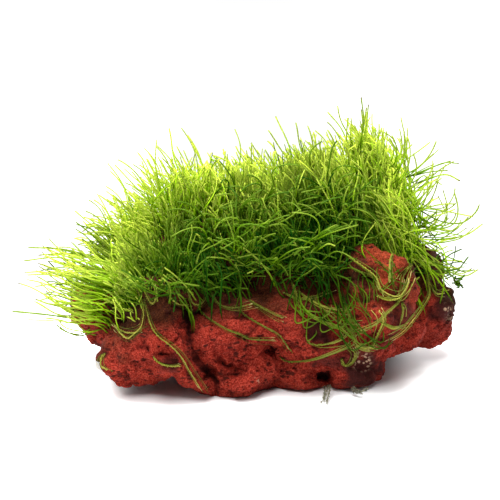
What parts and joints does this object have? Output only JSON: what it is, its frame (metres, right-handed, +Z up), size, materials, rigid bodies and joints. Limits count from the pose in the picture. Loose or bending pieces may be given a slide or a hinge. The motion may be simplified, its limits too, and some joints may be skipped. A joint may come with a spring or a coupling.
{
  "type": "willow moss on lava stone",
  "caption": "Lump of porous red lava stone with a thick cushion of willow moss grown over its top and stems trailing down its face; an aquarium plant on its stone.",
  "frame": {"origin": "on the surface that the stone stands on, under the middle of the whole object", "axes": "+X to the right and +Y to the back of the stone as it is usually shown, +Z up; the length runs along X"},
  "size_m": [0.1404, 0.0996, 0.0811],
  "materials": {
    "red_lava": "rough, porous, matt brick red",
    "willow_moss": "fine leafy strands, yellow-green at the tips and dark green at the roots",
    "moss_stem": "thin leafy stems, yellow-green",
    "dry_moss": "dry grey-green stem ends"
  },
  "bodies": {
    "root": {"curl_boulder": "moss_stem", "curl_left": "moss_stem", "curl_right_foot": "moss_stem", "curl_right_high": "moss_stem", "curl_right_low": "moss_stem", "curl_right_middle": "moss_stem", "lava_stone": "red_lava", "loop_left": "moss_stem", "loop_middle": "moss_stem", "moss_back": "willow_moss", "moss_front": "willow_moss", "moss_left": "willow_moss", "moss_left_back": "willow_moss", "moss_left_front": "willow_moss", "moss_middle": "willow_moss", "moss_peak": "willow_moss", "moss_right": "willow_moss", "moss_right_back": "willow_moss", "spray_right": "moss_stem", "sprig_boulder": "moss_stem", "sprig_hollow": "moss_stem", "stem_boulder": "moss_stem", "stem_bow_left": "moss_stem", "stem_bow_middle": "moss_stem", "stem_fall_right": "moss_stem", "stem_lobe": "moss_stem", "stem_long_left": "moss_stem", "stem_long_middle": "moss_stem", "stem_long_right": "moss_stem", "stem_low_right": "moss_stem", "stem_short_left": "moss_stem", "stem_slope_middle": "moss_stem", "stem_upper_right": "moss_stem", "stray_far_left": "moss_stem", "stray_left_high": "moss_stem", "stray_left_low": "moss_stem", "stray_left_middle": "moss_stem", "stray_left_top": "moss_stem", "stray_peak": "moss_stem", "stray_right_high": "moss_stem", "stray_right_top": "moss_stem", "wisp_front": "dry_moss", "wisp_right": "dry_moss"}
  },
  "joints": []
}
